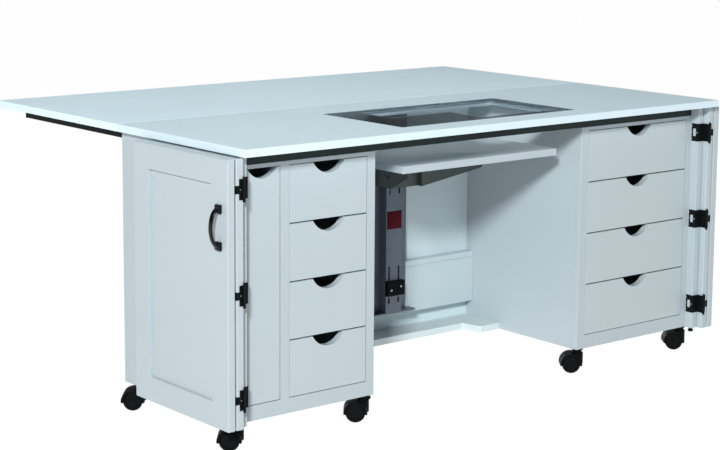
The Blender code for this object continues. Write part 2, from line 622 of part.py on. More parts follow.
def mast_profile():
    """Outline of the mast's hat section: web at the front, lips turned outwards at the rear."""
    half = MAST_W / 2
    front = MAST_Y
    rear = MAST_Y + MAST_D
    right = [(half, front), (half, rear - MAST_WALL), (half + MAST_LIP, rear - MAST_WALL),
             (half + MAST_LIP, rear), (half - MAST_WALL, rear), (half - MAST_WALL, front + MAST_WALL)]
    left = [(-x, y) for x, y in reversed(right)]
    return [(MAST_X + x, y) for x, y in right + left]


def make_mast():
    """Upright steel section on the knee space's rear wall, and the stop block low on it."""
    x = (MAST_X - MAST_W / 2, MAST_X + MAST_W / 2)
    z = (MAST_FOOT_Z, CABINET_TOP - MAST_TOP_GAP)
    cuts = []
    for rise, length in MAST_SLOTS:
        for side in (-1, 1):
            slot_x = MAST_X + side * MAST_SLOT_OFF * MAST_W
            cuts.append(box((slot_x - MAST_SLOT_W / 2, slot_x + MAST_SLOT_W / 2),
                            (MAST_Y - MAST_WALL, MAST_Y + 2 * MAST_WALL),
                            (z[0] + rise - length / 2, z[0] + rise + length / 2)))
    tab = box((x[0] - MAST_LIP, x[1] + MAST_FOOT_TAB),
              (MAST_Y + MAST_WALL / 2, MAST_Y + MAST_D - GAP),
              (z[0] - MAST_WALL, z[0] + MAST_WALL / 2))
    upper = z[1] - MAST_TAB_H
    web = box((MAST_X - MAST_TAB_W / 2, MAST_X + MAST_TAB_W / 2),
              (MAST_Y + MAST_WALL / 2, BACK_Y - GAP), (upper, upper + MAST_WALL))
    piece("lift_mast", prism("Z", mast_profile(), z), "galvanised_steel", add=[tab, web], cut=cuts)
    stop_y = MAST_Y - GAP
    piece("mast_stop",
          box((MAST_X - MAST_STOP_W / 2, MAST_X + MAST_STOP_W / 2), (stop_y - MAST_STOP_T, stop_y),
              (MAST_STOP_Z - MAST_STOP_H / 2, MAST_STOP_Z + MAST_STOP_H / 2), EASE),
          "black_plastic")


def make_carriage(top, parent):
    """Welded steel carriage: cross plate, two side plates, a gusset and a tapered wing."""
    low = top - CARRIAGE_H
    rear = MAST_Y + MAST_D - CARRIAGE_REAR
    cross_y = (MAST_Y - CROSS_PLATE_Y - CARRIAGE_PLATE, MAST_Y - CROSS_PLATE_Y)
    left = (MAST_X - CARRIAGE_W / 2, MAST_X - CARRIAGE_W / 2 + CARRIAGE_PLATE)
    right = (MAST_X + CARRIAGE_W / 2 - CARRIAGE_PLATE, MAST_X + CARRIAGE_W / 2)
    tip = cross_y[0] - GUSSET_L
    step = cross_y[0] - WING_STEP
    gusset = [(rear, low), (rear, top), (tip, top), (tip, top - GUSSET_TIP), (cross_y[0], low)]
    plain = [(rear, low), (rear, top), (step, top), (step, low)]
    end = right[1] + WING_L
    wing = [(right[0], top), (right[0], low), (right[1], low)]
    wing += arc((end - WING_TIP_R, low + WING_RISE + WING_TIP_R), WING_TIP_R, -80, 0, 5)
    wing.append((end, top))
    cross = box((left[0], right[1]), cross_y, (low, top))
    parts = [prism("X", gusset, left), prism("X", plain, right),
             prism("Y", wing, (step, step + CARRIAGE_PLATE))]
    piece("lift_carriage", cross, "painted_steel", add=parts, origin=(MAST_X, MAST_Y, low),
          parent=parent)


def make_lift():
    """Platform that carries the machine, on its carriage."""
    x = (PLATFORM_X - PLATFORM_W / 2, PLATFORM_X + PLATFORM_W / 2)
    front = FRONT_EDGE + PLATFORM_FRONT
    under = PLATFORM_Z - PLATFORM_T
    platform = piece("lift_platform", box(x, (front, front + PLATFORM_D), (under, PLATFORM_Z), EASE),
                     "white_board", origin=(PLATFORM_X, front + PLATFORM_D / 2, under))
    make_carriage(under - GAP, platform)


# ---- casters ------------------------------------------------------------------------------

def hood_mesh():
    """Caster hood about its stem, with the wheels trailing towards -X."""
    axle = (-CASTER_TRAIL, 0, WHEEL_R)
    shell = cylinder("Y", axle, HOOD_R, HOOD_W, 40)
    boss_top = WHEEL_R + HOOD_R
    boss = cylinder("Z", (0, 0, (WHEEL_R + boss_top) / 2), CASTER_BOSS_R, boss_top - WHEEL_R, 28)
    stem_top = CABINET_Z - GAP
    stem = cylinder("Z", (0, 0, (CASTER_STEM_Z + stem_top) / 2), CASTER_STEM_R,
                    stem_top - CASTER_STEM_Z, 20)
    plate = cylinder("Z", (0, 0, stem_top - CASTER_PLATE_T / 2), CASTER_PLATE_R, CASTER_PLATE_T, 28)
    below = box((-1.0, 1.0), (-1.0, 1.0), (-1.0, HOOD_SKIRT))
    cavities = []
    inner = CASTER_FIN / 2
    depth = WHEEL_W + 2 * CASTER_CLEARANCE
    for side in (-1, 1):
        centre = (axle[0], side * (inner + depth / 2), axle[2])
        cavities.append(cylinder("Y", centre, WHEEL_R + CASTER_CLEARANCE, depth, 40))
        drop = sorted((side * inner, side * (inner + depth)))
        cavities.append(box((axle[0] - WHEEL_R - CASTER_CLEARANCE, axle[0] + WHEEL_R + CASTER_CLEARANCE),
                            drop, (0.0, axle[2])))
    fin_low = cylinder("Y", axle, CASTER_AXLE_BOSS_R, CASTER_FIN, 28)
    hole = cylinder("Y", axle, WHEEL_HUB_R + CASTER_CLEARANCE / 2, CASTER_FIN * 2, 24)
    rough = piece("hood_rough", shell, "black_plastic", add=[boss, stem, plate],
                  cut=[below] + cavities)
    mesh = rough.data
    bpy.data.objects.remove(rough, do_unlink=True)
    whole = piece("hood_whole", mesh, "black_plastic", add=[fin_low], cut=[hole])
    mesh = whole.data
    bpy.data.objects.remove(whole, do_unlink=True)
    return mesh


def wheel_mesh():
    """Twin wheels on one hub, about the axle, along Y."""
    hub = cylinder("Y", (0, 0, 0), WHEEL_HUB_R, 2 * (WHEEL_INNER_Y + WHEEL_W), 24)
    wheels = []
    for side in (-1, 1):
        centre = (0, side * (WHEEL_INNER_Y + WHEEL_W / 2), 0)
        wheels.append(cylinder("Y", centre, WHEEL_R, WHEEL_W, 40))
    rough = piece("wheel_rough", hub, "black_plastic", add=wheels)
    mesh = rough.data
    bpy.data.objects.remove(rough, do_unlink=True)
    return mesh


def caster_places():
    """Name and stem position of each caster."""
    front = FRONT + CASTER_FRONT_Y
    rear = REAR - CASTER_REAR_Y
    outer = SIDE_X - CASTER_INSET
    return (
        ("left_outer_front", -outer, front), ("left_inner_front", LEFT_KNEE_X - CASTER_INSET, front),
        ("right_inner_front", RIGHT_KNEE_X + CASTER_INSET, front), ("right_outer_front", outer, front),
        ("left_outer_rear", -outer, rear), ("right_outer_rear", outer, rear))


def make_casters():
    """Swivelling hoods under the pedestals, each with its pair of wheels."""
    hood = hood_mesh()
    wheel = wheel_mesh()
    turn = math.radians(CASTER_TURN)
    for name, x, y in caster_places():
        body = bpy.data.objects.new(name + "_caster", hood)
        body.location = (x, y, 0)
        body.rotation_euler = (0, 0, turn)
        bpy.context.scene.collection.objects.link(body)
        roll = bpy.data.objects.new(name + "_wheels", wheel)
        roll.parent = body
        roll.location = (-CASTER_TRAIL, 0, WHEEL_R)
        bpy.context.scene.collection.objects.link(roll)


def main():
    """Build the whole table."""
    clear_scene()
    make_materials()
    make_top()
    make_rear_leaf()
    make_carcass()
    make_face_frames()
    make_knee_space()
    make_drawers()
    make_doors()
    make_hinges()
    make_mast()
    make_lift()
    make_casters()


main()
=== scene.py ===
"""Finishes and small fittings of a sewing table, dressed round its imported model.

Metres, +Z up: X runs along the table to the right, and -Y is the front, where the operator sits.
"""

import json
import logging
import math
from collections.abc import Callable, Sequence
from dataclasses import dataclass, field, replace
from enum import Enum

import bmesh
import bpy
from mathutils import Matrix, Vector


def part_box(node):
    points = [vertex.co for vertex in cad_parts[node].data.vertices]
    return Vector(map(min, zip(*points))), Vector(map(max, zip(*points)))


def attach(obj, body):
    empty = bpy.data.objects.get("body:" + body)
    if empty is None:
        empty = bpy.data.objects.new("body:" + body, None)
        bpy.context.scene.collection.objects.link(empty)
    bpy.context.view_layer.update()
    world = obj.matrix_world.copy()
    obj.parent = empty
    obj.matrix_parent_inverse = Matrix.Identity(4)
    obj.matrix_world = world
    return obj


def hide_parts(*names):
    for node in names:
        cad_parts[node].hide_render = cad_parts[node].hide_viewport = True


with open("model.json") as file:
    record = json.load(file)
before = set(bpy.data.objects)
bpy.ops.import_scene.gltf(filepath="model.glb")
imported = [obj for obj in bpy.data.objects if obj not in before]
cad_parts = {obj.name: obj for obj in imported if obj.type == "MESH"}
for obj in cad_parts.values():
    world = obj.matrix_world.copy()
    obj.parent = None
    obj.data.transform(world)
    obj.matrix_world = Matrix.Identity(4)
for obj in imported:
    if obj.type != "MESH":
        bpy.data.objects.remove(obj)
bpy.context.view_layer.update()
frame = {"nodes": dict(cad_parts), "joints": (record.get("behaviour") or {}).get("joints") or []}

LOG = logging.getLogger("sewing_table")
SIDES = {"left": -1, "right": 1}
LEVELS = ("lower", "middle", "upper")
STACKS = {"left": ("left_divider", "left_inner_side"),
          "right": ("right_inner_side", "right_outer_side")}
DRAWERS_IN_STACK = 4
CASTERS = ("left_outer_front", "left_inner_front", "right_inner_front", "right_outer_front",
           "left_outer_rear", "right_outer_rear")

WASHER_T = 0.22
WASHER_R = 1.35
BOLT_HEAD_H = 0.95
BOLT_EASE = 0.1
PAST_CUT = 0.01

Colour = tuple[float, float, float]
Span = tuple[float, float]
Test = Callable[[Vector, Vector], bool]


class Part(Enum):
    """What is selected in edit mode."""

    FACES = "FACE"
    EDGES = "EDGE"


class Join(Enum):
    """How one solid is combined with another."""

    ADD = "UNION"
    TAKE = "DIFFERENCE"


# ---- at the bench ----


def clear_selection() -> None:
    """Leave edit mode and select nothing."""
    if bpy.context.mode != "OBJECT":
        bpy.ops.object.mode_set(mode="OBJECT")
    bpy.ops.object.select_all(action="DESELECT")


def choose(*solids: bpy.types.Object) -> bpy.types.Object:
    """Select these objects alone, in object mode, and make the first one active.

    Args:
        solids: the objects to select.

    Returns:
        The active object.
    """
    clear_selection()
    for solid in solids:
        solid.select_set(True)
    bpy.context.view_layer.objects.active = solids[0]
    return solids[0]


def settle() -> bpy.types.Object:
    """Move the new object's place, turn and size into its mesh.

    Returns:
        The active object, at the origin.
    """
    bpy.ops.object.transform_apply(location=True, rotation=True, scale=True)
    return bpy.context.object


def block(x: Sequence[float], y: Sequence[float], z: Sequence[float],
          ease: float = 0.0, segments: int = 3) -> bpy.types.Object:
    """Add a block between pairs of limits, given in any order, with its edges rounded.

    Args:
        x: limits along X.
        y: limits along Y.
        z: limits along Z.
        ease: radius of the edges.
        segments: faces across each rounded edge.

    Returns:
        The block.
    """
    clear_selection()
    middle = [(a[0] + a[1]) / 2 for a in (x, y, z)]
    size = [abs(a[1] - a[0]) for a in (x, y, z)]
    bpy.ops.mesh.primitive_cube_add(size=1.0, location=middle, scale=size)
    solid = settle()
    if ease:
        round_edges(solid, ease, segments)
    return solid


def rod(start: Sequence[float], end: Sequence[float], radius: float, sides: int = 32,
        tip: float | None = None) -> bpy.types.Object:
    """Add a round bar between two points.

    Args:
        start: middle of the first end.
        end: middle of the second end.
        radius: radius at the first end.
        sides: faces round the bar.
        tip: radius at the second end, where it differs.

    Returns:
        The bar.
    """
    clear_selection()
    along = Vector(end) - Vector(start)
    turn = along.to_track_quat("Z", "Y").to_euler()
    bpy.ops.mesh.primitive_cone_add(
        vertices=sides, radius1=radius, radius2=radius if tip is None else tip,
        depth=along.length, location=(Vector(start) + Vector(end)) / 2, rotation=turn)
    return settle()


def pick(solid: bpy.types.Object, part: Part, test: Test) -> None:
    """Enter edit mode with only the faces or edges selected that pass a test.

    Args:
        solid: the object to edit.
        part: faces or edges.
        test: takes a face's middle and normal, or an edge's middle and direction.
    """
    choose(solid)
    bpy.ops.object.mode_set(mode="EDIT")
    bpy.ops.mesh.select_mode(type=part.value)
    bpy.ops.mesh.select_all(action="DESELECT")
    shape = bmesh.from_edit_mesh(solid.data)
    if part is Part.FACES:
        for face in shape.faces:
            face.select_set(test(face.calc_center_median(), face.normal))
    else:
        for edge in shape.edges:
            low, high = (v.co for v in edge.verts)
            edge.select_set(test((low + high) / 2, (high - low).normalized()))
    shape.select_flush_mode()
    bmesh.update_edit_mesh(solid.data)


def round_edges(solid: bpy.types.Object, radius: float, segments: int = 3,
                test: Test | None = None) -> None:
    """Bevel the edges that pass a test, or all of them.

    Args:
        solid: the object to bevel.
        radius: width of the bevel.
        segments: faces across it.
        test: takes an edge's middle and direction.
    """
    pick(solid, Part.EDGES, test or (lambda place, along: True))
    bpy.ops.mesh.bevel(offset=radius, segments=segments, profile=0.5, affect="EDGES",
                       clamp_overlap=True)
    bpy.ops.object.mode_set(mode="OBJECT")


def soften(solid: bpy.types.Object, radius: float, segments: int = 2,
           angle: float = 40.0) -> None:
    """Round every sharp edge with an applied Bevel modifier.

    Args:
        solid: the object to bevel.
        radius: width of the bevel.
        segments: faces across it.
        angle: edges sharper than this many degrees are rounded.
    """
    choose(solid)
    bpy.ops.object.modifier_add(type="BEVEL")
    bevel = solid.modifiers[-1]
    bevel.width = radius
    bevel.segments = segments
    bevel.limit_method = "ANGLE"
    bevel.angle_limit = math.radians(angle)
    bpy.ops.object.modifier_apply(modifier=bevel.name)


def combine(solid: bpy.types.Object, tool: bpy.types.Object, how: Join) -> bpy.types.Object:
    """Add a tool to a solid or take it away, and delete the tool.

    Args:
        solid: the solid that stays.
        tool: the solid that is used up.
        how: whether it is added or taken away.

    Returns:
        The solid that stays.
    """
    choose(solid)
    bpy.ops.object.modifier_add(type="BOOLEAN")
    boolean = solid.modifiers[-1]
    boolean.operation = how.value
    boolean.solver = "EXACT"
    boolean.object = tool
    bpy.ops.object.modifier_apply(modifier=boolean.name)
    choose(tool)
    bpy.ops.object.delete()
    return choose(solid)


def gather(solids: Sequence[bpy.types.Object]) -> bpy.types.Object:
    """Join separate solids into one object.

    Args:
        solids: the solids, of which the first one stays.

    Returns:
        The joined object.
    """
    choose(*solids)
    if len(solids) > 1:
        bpy.ops.object.join()
    return bpy.context.object


def about(middle: float, size: float) -> Span:
    """Limits of a size about its middle."""
    return middle - size / 2, middle + size / 2


class ScrewPattern:
    """One countersunk cross-recess head, modelled once and copied wherever a screw sits."""

    solid: bpy.types.Object | None = None
    sink: float = 0.6
    dome: float = 0.10
    tip_r: float = 0.55
    dome_ease: float = 0.05
    arms: tuple[tuple[float, float, float], ...] = (
        (0.56, 0.13, 0.34), (0.13, 0.56, 0.31))

    @classmethod
    def make(cls) -> bpy.types.Object:
        """Model a head of radius 1 that faces +Z, with its rim at the origin."""
        head = rod((0, 0, -cls.sink), (0, 0, cls.dome), cls.tip_r, 24, 1.0)
        round_edges(head, cls.dome_ease, 2, lambda place, along: place.z > 0.9 * cls.dome)
        for long, wide, deep in cls.arms:
            arm = block((-long, long), (-wide, wide), (-deep, 1.0))
            head = combine(head, arm, Join.TAKE)
        cls.solid = head
        return head

    @classmethod
    def at(cls, place: Sequence[float], out: Sequence[float], radius: float) -> bpy.types.Object:
        """Copy the head to a place.

        Args:
            place: middle of the head, on the face that it sits in.
            out: direction that the head faces.
            radius: radius of the head.

        Returns:
            The copy.
        """
        choose(cls.solid or cls.make())
        bpy.ops.object.duplicate(linked=False)
        head = bpy.context.object
        head.scale = (radius, radius, radius)
        head.rotation_euler = Vector(out).to_track_quat("Z", "Y").to_euler()
        head.location = place
        return settle()

    @classmethod
    def put_away(cls) -> None:
        """Delete the pattern once every screw is in."""
        if cls.solid:
            choose(cls.solid)
            bpy.ops.object.delete()
            cls.solid = None


def hex_bolt(place: Sequence[float], out: Sequence[float], radius: float) -> bpy.types.Object:
    """Make a hexagon bolt head on its washer.

    Args:
        place: middle of the washer, on the face.
        out: direction that the head faces.
        radius: radius over the corners of the hexagon.

    Returns:
        Head and washer in one object.
    """
    out = Vector(out)
    place = Vector(place)
    washer_t = radius * WASHER_T
    washer = rod(place - out * washer_t, place + out * washer_t, radius * WASHER_R, 28)
    head = rod(place, place + out * radius * BOLT_HEAD_H, radius, 6)
    soften(head, radius * BOLT_EASE)
    return gather([washer, head])


def bounds_of(node: str) -> tuple[Span, Span, Span]:
    """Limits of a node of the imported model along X, Y and Z."""
    low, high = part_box(node)
    return (low.x, high.x), (low.y, high.y), (low.z, high.z)


def joint_at(name: str) -> tuple[Vector, Vector]:
    """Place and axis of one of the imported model's hinges.

    Args:
        name: the joint's name.

    Returns:
        A point on its axis, and the axis.
    """
    joint = next(j for j in frame["joints"] if j["name"] == name)
    return Vector(joint["pos_m"]), Vector(joint["axis"])


# ---- finishes ----

COAT_ROUGHNESS = 0.08
BRUSH_STRETCH = (1.0, 1.0, 0.06)
CLOUD_DETAIL = 4
WEAR_PER_MOTTLE = 2.2
WEAR_DETAIL = 5
WEAR_RANGE = (0.3, 0.7)
GRAIN_DETAIL = 3
GRAIN_STRENGTH = 0.6
GLOSS_LIMIT = 0.02


def tune(node: bpy.types.Node, values: dict[str, float | tuple[float, ...]]) -> None:
    """Set a shader node's inputs by their names."""
    for name, value in values.items():
        node.inputs[name].default_value = value


def noise(tree: bpy.types.NodeTree, place: bpy.types.NodeSocket, scale: float,
          detail: float) -> bpy.types.NodeSocket:
    """Add a noise texture.

    Args:
        tree: the material's nodes and links.
        place: where the texture reads its place from.
        scale: cells in a metre.
        detail: octaves.

    Returns:
        A value from 0 to 1.
    """
    texture = tree.nodes.new("ShaderNodeTexNoise")
    tune(texture, {"Scale": scale, "Detail": detail})
    tree.links.new(place, texture.inputs["Vector"])
    return texture.outputs["Fac"]


class Pattern(Enum):
    """How a finish varies over the surface."""

    CLOUDS = "clouds"
    SPANGLE = "spangle"
    BRUSHED = "brushed"


@dataclass(frozen=True)
class Finish:
    """A surface: its colour, its gloss, and how both vary.

    Lengths are in metres. The texture is fine relief over all of the surface, and the mottling is
    a slow change of tone across it.
    """

    name: str
    slot: str
    colour: Colour
    roughness: float
    metallic: float = 0.0
    mottle: float = 0.03
    mottle_size: float = 0.12
    gloss_change: float = 0.06
    texture_size: float = 0.0015
    texture_depth: float = 0.00002
    specular: float = 0.5
    coat: float = 0.0
    transmission: float = 0.0
    ior: float = 1.5
    pattern: Pattern = Pattern.CLOUDS

    def material(self) -> bpy.types.Material:
        """Return the finish's material, made the first time that it is asked for."""
        return bpy.data.materials.get(self.name) or self.make()

    def make(self) -> bpy.types.Material:
        """Build the finish's nodes.

        Returns:
            The new material.
        """
        material = bpy.data.materials.new(self.name)
        material.use_nodes = True
        tree = material.node_tree
        shader = tree.nodes["Principled BSDF"]
        tune(shader, {"Metallic": self.metallic, "Specular IOR Level": self.specular,
                      "Coat Weight": self.coat, "Coat Roughness": COAT_ROUGHNESS,
                      "Transmission Weight": self.transmission, "IOR": self.ior})
        place = tree.nodes.new("ShaderNodeTexCoord").outputs["Object"]
        if self.pattern is Pattern.BRUSHED:
            stretch = tree.nodes.new("ShaderNodeMapping")
            tune(stretch, {"Scale": BRUSH_STRETCH})
            tree.links.new(place, stretch.inputs["Vector"])
            place = stretch.outputs["Vector"]
        ramp = tree.nodes.new("ShaderNodeMix")
        ramp.data_type = "RGBA"
        tune(ramp, {"A": (*[c * (1 - self.mottle) for c in self.colour], 1),
                    "B": (*[min(1, c * (1 + self.mottle)) for c in self.colour], 1)})
        tree.links.new(self.tone(tree, place), ramp.inputs["Factor"])
        tree.links.new(ramp.outputs["Result"], shader.inputs["Base Color"])
        wear = noise(tree, place, WEAR_PER_MOTTLE / self.mottle_size, WEAR_DETAIL)
        gloss = tree.nodes.new("ShaderNodeMapRange")
        tune(gloss, {"From Min": WEAR_RANGE[0], "From Max": WEAR_RANGE[1],
                     "To Min": max(GLOSS_LIMIT, self.roughness - self.gloss_change),
                     "To Max": min(1.0, self.roughness + self.gloss_change)})
        tree.links.new(wear, gloss.inputs["Value"])
        tree.links.new(gloss.outputs["Result"], shader.inputs["Roughness"])
        bump = tree.nodes.new("ShaderNodeBump")
        tune(bump, {"Strength": GRAIN_STRENGTH, "Distance": self.texture_depth})
        tree.links.new(noise(tree, place, 1 / self.texture_size, GRAIN_DETAIL),
                       bump.inputs["Height"])
        tree.links.new(bump.outputs["Normal"], shader.inputs["Normal"])
        return material

    def tone(self, tree: bpy.types.NodeTree,
             place: bpy.types.NodeSocket) -> bpy.types.NodeSocket:
        """Add the nodes that vary the colour.

        Args:
            tree: the material's nodes and links.
            place: where the pattern reads its place from.

        Returns:
            A value from 0 to 1.
        """
        if self.pattern is not Pattern.SPANGLE:
            return noise(tree, place, 1 / self.mottle_size, CLOUD_DETAIL)
        cells = tree.nodes.new("ShaderNodeTexVoronoi")
        tune(cells, {"Scale": 1 / self.mottle_size})
        tree.links.new(place, cells.inputs["Vector"])
        split = tree.nodes.new("ShaderNodeSeparateColor")
        tree.links.new(cells.outputs["Color"], split.inputs["Color"])
        return split.outputs["Red"]

    def dress(self, solid: bpy.types.Object) -> None:
        """Give an object this finish."""
        solid.data.materials.clear()
        solid.data.materials.append(self.material())


# Painted light: the worktop is a lighter copy of the white board's colour, raised to make up for
# the weaker light on its top face.
WORKTOP_PAINTED_LIGHT = Finish("worktop_laminate_painted_light", "white_board", (0.635, 0.755, 0.815), 0.60, mottle=0.020,
                 mottle_size=0.30, texture_size=0.0009, texture_depth=0.000025, specular=0.14)
# Painted light: the leaf is a still lighter copy of the worktop's colour, matched to how brightly
# the leaf is lit.
LEAF_PAINTED_LIGHT = replace(WORKTOP_PAINTED_LIGHT, name="leaf_laminate_painted_light", colour=(0.700, 0.835, 0.905))
PANEL = Finish("panel_laminate", "white_board", (0.410, 0.475, 0.507), 0.46, mottle=0.020,
               mottle_size=0.25, texture_size=0.0010, texture_depth=0.000018)
# Painted light: a lighter copy of the panel tone, lifting the shade on the knee ledge.
KNEE_BOARD_PAINTED_LIGHT = replace(PANEL, name="knee_board_painted_light", colour=(0.450, 0.535, 0.565))
# Painted light: a much lighter copy of the panel tone, lifting the shade on the back panel inside
# the knee space.
BACK_BOARD_PAINTED_LIGHT = replace(PANEL, name="back_board_painted_light", colour=(0.600, 0.710, 0.745))
# Painted light: a lighter copy of the panel tone, lifting the shade on the foot shelf under the
# knee space.
SHELF_PAINTED_LIGHT = replace(PANEL, name="shelf_laminate_painted_light", colour=(0.560, 0.640, 0.655))
DOOR_PAINT = Finish("door_lacquer", "white_board", (0.420, 0.482, 0.512), 0.38, mottle=0.018,
                    mottle_size=0.20, texture_size=0.0035, texture_depth=0.00003, coat=0.10)
DRAWER_PAINT = replace(DOOR_PAINT, name="drawer_lacquer", colour=(0.420, 0.488, 0.515),
                       roughness=0.40, mottle=0.020, mottle_size=0.18, coat=0.08)
# Painted shade: a near-black apron under the top's front edge, whose dark colour also stands for
# the shadow of the top's overhang.
APRON_PAINTED_SHADE = Finish("apron_dark_painted_shade", "dark_board", (0.017, 0.026, 0.026), 0.60, mottle=0.08,
                     mottle_size=0.05, texture_size=0.0008, texture_depth=0.00003, specular=0.2)
GALVANISED = Finish("galvanised_sheet", "galvanised_steel", (0.130, 0.155, 0.190), 0.40,
                    metallic=0.60, mottle=0.07, mottle_size=0.006, gloss_change=0.08,
                    texture_size=0.0012, pattern=Pattern.SPANGLE)
RUNNER_ZINC = Finish("runner_zinc", "galvanised_steel", (0.52, 0.55, 0.57), 0.30, metallic=0.95,
                     mottle=0.05, mottle_size=0.03, texture_size=0.0006, pattern=Pattern.BRUSHED)
SCREW_ZINC = Finish("screw_zinc", "galvanised_steel", (0.58, 0.60, 0.61), 0.28, metallic=1.0,
                    mottle=0.05, mottle_size=0.004, texture_size=0.0005)
BOLT_STEEL = replace(SCREW_ZINC, name="bolt_steel", colour=(0.130, 0.150, 0.165),
                     roughness=0.34, metallic=0.85, mottle=0.08)
OLIVE_STEEL = Finish("olive_steel_paint", "painted_steel", (0.066, 0.080, 0.076), 0.48,
                     metallic=0.10, mottle=0.10, mottle_size=0.025, texture_size=0.0009,
                     texture_depth=0.00004)
BLACK_POWDER = Finish("black_powder_coat", "black_steel", (0.003, 0.0045, 0.005), 0.50,
                      mottle=0.15, mottle_size=0.010, texture_size=0.0007,
                      texture_depth=0.00005, specular=0.10)
HANDLE_GLOSS = Finish("handle_gloss_black", "black_steel", (0.002, 0.0035, 0.004), 0.24,
                      mottle=0.10, mottle_size=0.012, gloss_change=0.04,
                      texture_depth=0.00001, coat=0.04, specular=0.22)
MOULDED = Finish("moulded_black", "black_plastic", (0.002, 0.003, 0.0035), 0.50, mottle=0.12,
                 mottle_size=0.012, texture_size=0.0006, texture_depth=0.00005, specular=0.07)
TREAD = Finish("wheel_tread", "black_plastic", (0.0025, 0.0035, 0.004), 0.55, mottle=0.20,
               mottle_size=0.006, texture_size=0.0008, texture_depth=0.00006, specular=0.07)
ACRYLIC = Finish("insert_acrylic", "clear_acrylic", (0.62, 0.68, 0.71), 0.06, mottle=0.01,
                 gloss_change=0.02, texture_depth=0.000004, transmission=1.0, ior=1.16,
                 specular=0.25)
LABEL_RED = Finish("label_red", "painted_steel", (0.075, 0.004, 0.011), 0.60, mottle=0.04,
                   mottle_size=0.01, specular=0.08)


def deliver(name: str, solid: bpy.types.Object, finish: Finish, body: str,
            stands_for: Sequence[str] = (), angle: float = 35.0) -> None:
    """Name a finished piece, smooth it, dress it and hang it on its body.

    Args:
        name: the piece's name.
        solid: its object.
        finish: its finish.
        body: the body that it moves with.
        stands_for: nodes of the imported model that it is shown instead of.
        angle: edges sharper than this many degrees stay sharp.
    """
    choose(solid)
    bpy.ops.object.mode_set(mode="EDIT")
    bpy.ops.mesh.select_all(action="SELECT")
    bpy.ops.mesh.normals_make_consistent(inside=False)
    bpy.ops.object.mode_set(mode="OBJECT")
    bpy.ops.object.shade_smooth_by_angle(angle=math.radians(angle))
    solid.name = name
    solid.data.name = name
    finish.dress(solid)
    if stands_for:
        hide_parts(*stands_for)
    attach(solid, body)
    LOG.info("%s rides on %s, %d faces", name, body, len(solid.data.polygons))


# ---- boards and metalwork that keep their shape ----


@dataclass
class Boards:
    """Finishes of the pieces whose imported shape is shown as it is."""

    whole: dict[str, Finish] = field(default_factory=lambda: {
        # Painted shade: the lift platform takes the darker panel tone rather than the worktop's,
        # for the shade under the top's overhang.
        "main_top": WORKTOP_PAINTED_LIGHT, "rear_leaf": LEAF_PAINTED_LIGHT, "lift_platform": PANEL,
        "clear_insert": ACRYLIC, "front_apron": APRON_PAINTED_SHADE, "lift_mast": GALVANISED,
        "mast_stop": MOULDED, "lift_carriage": OLIVE_STEEL, "back_panel": BACK_BOARD_PAINTED_LIGHT,
        "knee_ledge_front": KNEE_BOARD_PAINTED_LIGHT, "knee_ledge_top": KNEE_BOARD_PAINTED_LIGHT, "foot_shelf": SHELF_PAINTED_LIGHT})
    parts: dict[str, Finish] = field(default_factory=lambda: {
        "_hinge": BLACK_POWDER, "leaf_": BLACK_POWDER, "_caster": MOULDED, "_wheels": MOULDED,
        "_handle": MOULDED, "_door": DOOR_PAINT, "_drawer": DRAWER_PAINT,
        "tall_pullout": DRAWER_PAINT})

    def finish_for(self, node: str) -> Finish:
        """Choose the finish of a node by its name, or by a part of it.

        Args:
            node: the node's name.

        Returns:
            Its finish, which is the panel laminate where nothing else is named.
        """
        if node in self.whole:
            return self.whole[node]
        return next((finish for part, finish in self.parts.items() if part in node), PANEL)

    def build(self) -> None:
        """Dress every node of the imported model."""
        for node, solid in frame["nodes"].items():
            finish = self.finish_for(node)
            finish.dress(solid)
            LOG.info("%s takes %s", node, finish.name)


# ---- doors ----


@dataclass
class DoorHandle:
    """Bow handle: a round bow between two stepped feet."""

    side: str
    foot_t: float = 0.0062
    step_t: float = 0.0022
    step_inset: float = 0.0030
    foot_h: float = 0.0205
    foot_ease: float = 0.0012
    step_ease: float = 0.0010
    bow_w: float = 0.0150
    bow_t: float = 0.0105
    clearance: float = 0.0006
    steps: int = 30
    section_sides: int = 24

    def build(self) -> None:
        """Model the handle inside the box of the plain one."""
        way = SIDES[self.side]
        x, y, z = bounds_of(self.side + "_handle")
        face, reach = x[::way]
        middle = Vector((face + way * self.foot_t / 2, sum(y) / 2, sum(z) / 2))
        radius = (z[1] - z[0]) / 2 - self.foot_h / 2
        clear_selection()
        bpy.ops.mesh.primitive_circle_add(
            vertices=self.section_sides, radius=0.5, fill_type="NGON",
            location=middle - Vector((0, 0, radius)), rotation=(0, math.pi / 2, 0))
        bow = settle()
        pick(bow, Part.FACES, lambda place, normal: True)
        bpy.ops.transform.resize(value=(1, self.bow_w, self.bow_t),
                                 center_override=middle - Vector((0, 0, radius)))
        bpy.ops.mesh.spin(steps=self.steps, angle=way * math.pi, center=middle, axis=(0, 1, 0))
        bpy.ops.mesh.select_all(action="SELECT")
        flatter = (abs(reach - middle.x) - self.clearance) / (radius + self.bow_t / 2)
        bpy.ops.transform.resize(value=(flatter, 1, 1), center_override=middle)
        bpy.ops.object.mode_set(mode="OBJECT")
        for low in (z[0], z[1] - self.foot_h):
            foot = block((face, face + way * self.foot_t), y, (low, low + self.foot_h),
                         self.foot_ease)
            inset = self.step_inset
            step = block((face + way * self.foot_t / 2, face + way * (self.foot_t + self.step_t)),
                         (y[0] + inset, y[1] - inset), (low + inset, low + self.foot_h - inset),
                         self.step_ease)
            bow = combine(bow, combine(foot, step, Join.ADD), Join.ADD)
        deliver(self.side + "_bow_handle", bow, HANDLE_GLOSS, self.side + "_outer_door",
                [self.side + "_handle"], 40)


